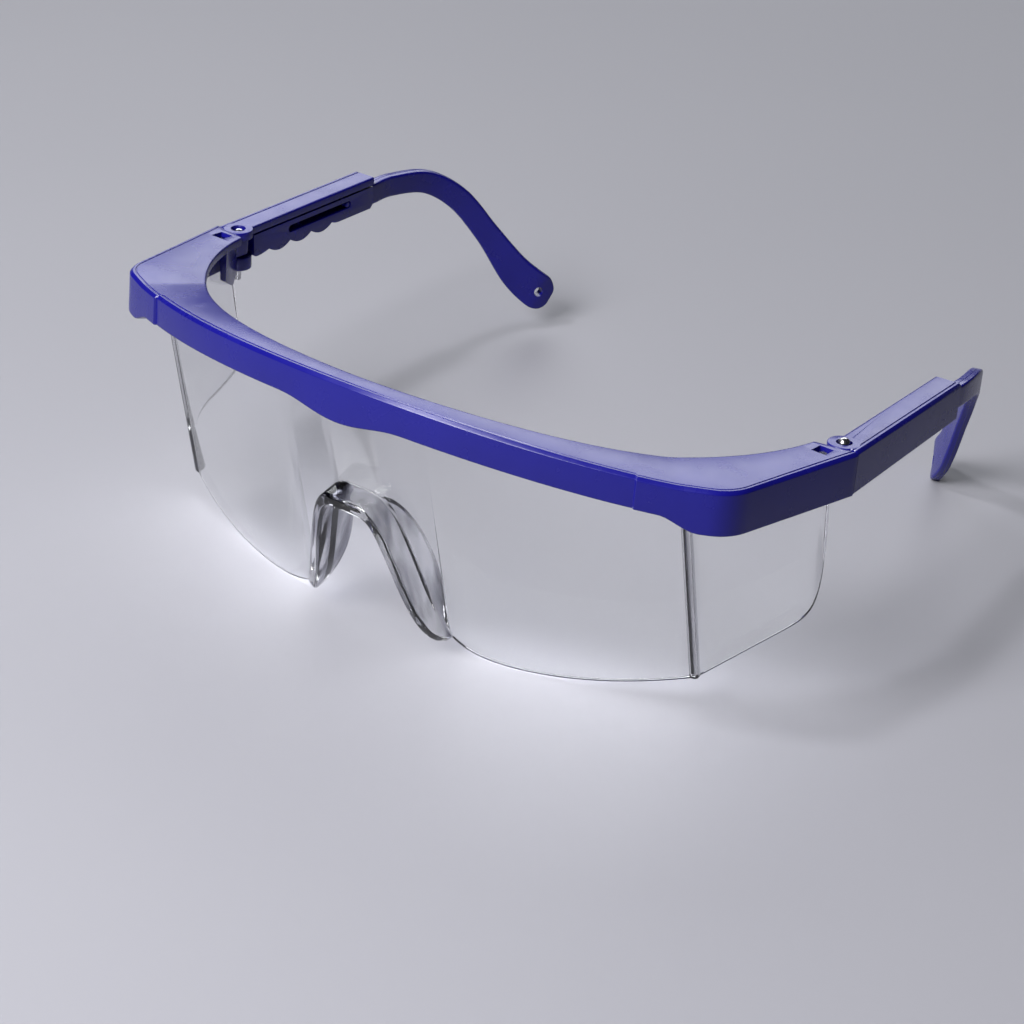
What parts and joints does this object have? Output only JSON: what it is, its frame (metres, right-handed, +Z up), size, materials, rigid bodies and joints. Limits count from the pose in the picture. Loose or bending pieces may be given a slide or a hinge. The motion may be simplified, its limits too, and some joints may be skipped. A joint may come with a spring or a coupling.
{
  "type": "safety glasses",
  "caption": "Wraparound safety glasses: clear one-piece lens with moulded nose saddle under a blue brow frame, folding temples with sliding ear arms.",
  "frame": {"origin": "middle of the bounding box in plan, on the surface the glasses stand on", "axes": "+Z up, -Y the way the wearer looks, +X the wearer's left, so the temples run towards +Y"},
  "size_m": [0.1508, 0.1388, 0.0544],
  "materials": {
    "frame_plastic": "glossy moulded ultramarine blue",
    "lens_plastic": "clear colourless polycarbonate, polished",
    "pin_steel": "bright steel"
  },
  "bodies": {
    "front": {"brow_frame": "frame_plastic", "lens": "lens_plastic", "hinge_pin_left": "pin_steel", "hinge_pin_right": "pin_steel"},
    "housing_left": {"temple_housing_left": "frame_plastic"},
    "housing_right": {"temple_housing_right": "frame_plastic"},
    "arm_left": {"temple_arm_left": "frame_plastic"},
    "arm_right": {"temple_arm_right": "frame_plastic"}
  },
  "joints": [
    {"name": "temple_fold_left", "type": "hinge", "parent": "front", "child": "housing_left", "pos_m": [0.0711, -0.0162, 0.04203], "axis": [0, 0.0872, 0.9962], "range_deg": [-4.3, 88]},
    {"name": "temple_fold_right", "type": "hinge", "parent": "front", "child": "housing_right", "pos_m": [-0.0711, -0.0162, 0.04203], "axis": [0, -0.0872, -0.9962], "range_deg": [0, 78]},
    {"name": "arm_slide_left", "type": "slide", "parent": "housing_left", "child": "arm_left", "axis": [-0.075, 0.9934, -0.0869], "range_m": [0, 0.016]},
    {"name": "arm_slide_right", "type": "slide", "parent": "housing_right", "child": "arm_right", "axis": [0, 0.9997, -0.0244], "range_m": [0, 0.016]}
  ]
}
